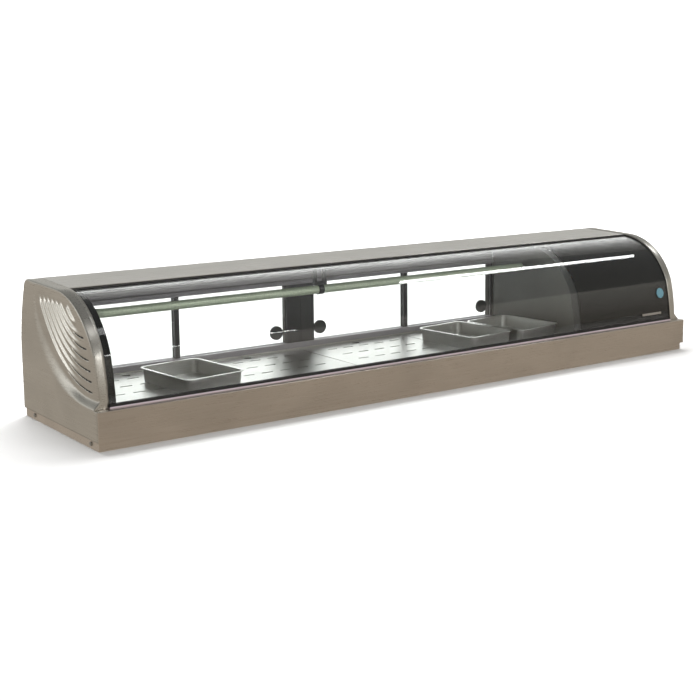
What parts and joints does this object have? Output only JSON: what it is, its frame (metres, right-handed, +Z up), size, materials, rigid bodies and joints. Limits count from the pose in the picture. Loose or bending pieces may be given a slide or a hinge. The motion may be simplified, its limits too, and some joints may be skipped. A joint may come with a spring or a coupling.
{
  "type": "refrigerated countertop display case",
  "caption": "Long low countertop refrigerated display case with curved front glass, stainless end caps, sliding rear doors and a side machine compartment.",
  "frame": {"origin": "middle of the footprint, on the counter it stands on", "axes": "+X along the case towards the machine compartment (customer's right), +Y towards the rear doors, +Z up"},
  "size_m": [1.5, 0.345, 0.27],
  "materials": {
    "brushed_side": "brushed, warm satin",
    "brushed_front": "brushed along the length",
    "brushed_roof": "brushed along the length",
    "liner_steel": "satin",
    "tray_steel": "polished satin",
    "galvanised": "dull galvanised",
    "fastener_steel": "bright",
    "track_aluminium": "satin anodised",
    "pipe_aluminium": "matt, pale green-grey",
    "fin_aluminium": "mill finish",
    "frame_black": "satin black",
    "compressor_black": "gloss black",
    "clear_glass": "clear, toughened",
    "door_glass": "clear",
    "mask_black": "gloss black print",
    "seal_black": "matt black",
    "seal_pale": "pale translucent",
    "foam": "rigid foam",
    "wall_grey": "pale grey",
    "black_plastic": "moulded",
    "white_plastic": "moulded",
    "copper": "drawn copper",
    "badge_blue": "blank printed disc",
    "bar_silver": "blank plate"
  },
  "bodies": {
    "case": {"plinth": "brushed_front", "base_pan": "galvanised", "front_skirt": "brushed_front", "drain_spigot": "fastener_steel", "rear_sill": "brushed_side", "well_insulation": "foam", "liner": "liner_steel", "evaporator_coil": "copper", "deck_bars": "track_aluminium", "deck_plates": "liner_steel", "end_cap_left": "brushed_side", "end_cap_right": "brushed_side", "end_wall": "wall_grey", "partition": "wall_grey", "front_glass": "clear_glass", "glass_masks": "mask_black", "glass_base_seal": "seal_pale", "glass_top_seal": "seal_black", "glass_side_seals": "seal_black", "roof_panel": "brushed_roof", "ceiling_panel": "wall_grey", "upper_track": "track_aluminium", "lower_track": "track_aluminium", "centre_post": "frame_black", "door_jambs": "frame_black", "chill_pipe": "pipe_aluminium", "pipe_hanger": "black_plastic", "service_panel": "brushed_side", "screws": "fastener_steel", "cable_gland": "black_plastic", "thermostat": "white_plastic", "switch_housing": "black_plastic", "compressor": "compressor_black", "compressor_mounts": "seal_black", "terminal_box": "black_plastic", "condenser": "fin_aluminium", "fan_shroud": "galvanised", "fan_motor": "compressor_black", "filter_drier": "copper", "copper_lines": "copper", "glass_badge": "badge_blue", "name_bar": "bar_silver"},
    "door_1": {"door_1_pane": "door_glass", "door_1_stile": "frame_black", "door_1_cup": "black_plastic"},
    "door_2": {"door_2_pane": "door_glass", "door_2_stile": "frame_black", "door_2_cup": "black_plastic"},
    "door_3": {"door_3_pane": "door_glass", "door_3_stile": "frame_black", "door_3_cup": "black_plastic"},
    "door_4": {"door_4_pane": "door_glass", "door_4_stile": "frame_black", "door_4_cup": "black_plastic"},
    "knob": {"thermostat_knob": "black_plastic"},
    "rocker": {"switch_rocker": "black_plastic"},
    "fan": {"fan_rotor": "white_plastic"},
    "tray_1": {"tray_1": "tray_steel"},
    "tray_2": {"tray_2": "tray_steel"},
    "tray_3": {"tray_3": "tray_steel"}
  },
  "joints": [
    {"name": "door_1_slide", "type": "slide", "parent": "case", "child": "door_1", "axis": [1, 0, 0], "range_m": [0, 0.25]},
    {"name": "door_2_slide", "type": "slide", "parent": "case", "child": "door_2", "axis": [1, 0, 0], "range_m": [-0.25, 0]},
    {"name": "door_3_slide", "type": "slide", "parent": "case", "child": "door_3", "axis": [1, 0, 0], "range_m": [0, 0.248]},
    {"name": "door_4_slide", "type": "slide", "parent": "case", "child": "door_4", "axis": [1, 0, 0], "range_m": [-0.248, 0]},
    {"name": "knob_turn", "type": "hinge", "parent": "case", "child": "knob", "pos_m": [0.527, 0.1565, 0.152], "axis": [0, 1, 0], "range_deg": [0, 270]},
    {"name": "rocker_tilt", "type": "hinge", "parent": "case", "child": "rocker", "pos_m": [0.485, 0.1525, 0.152], "axis": [1, 0, 0], "range_deg": [-14, 0]},
    {"name": "fan_spin", "type": "hinge", "parent": "case", "child": "fan", "pos_m": [0.65, 0.0625, 0.112], "axis": [0, 1, 0], "continuous": true},
    {"name": "tray_1_lift", "type": "slide", "parent": "case", "child": "tray_1", "axis": [0, 0, 1], "range_m": [0, 0.05]},
    {"name": "tray_2_lift", "type": "slide", "parent": "case", "child": "tray_2", "axis": [0, 0, 1], "range_m": [0, 0.05]},
    {"name": "tray_3_lift", "type": "slide", "parent": "case", "child": "tray_3", "axis": [0, 0, 1], "range_m": [0, 0.05]}
  ]
}
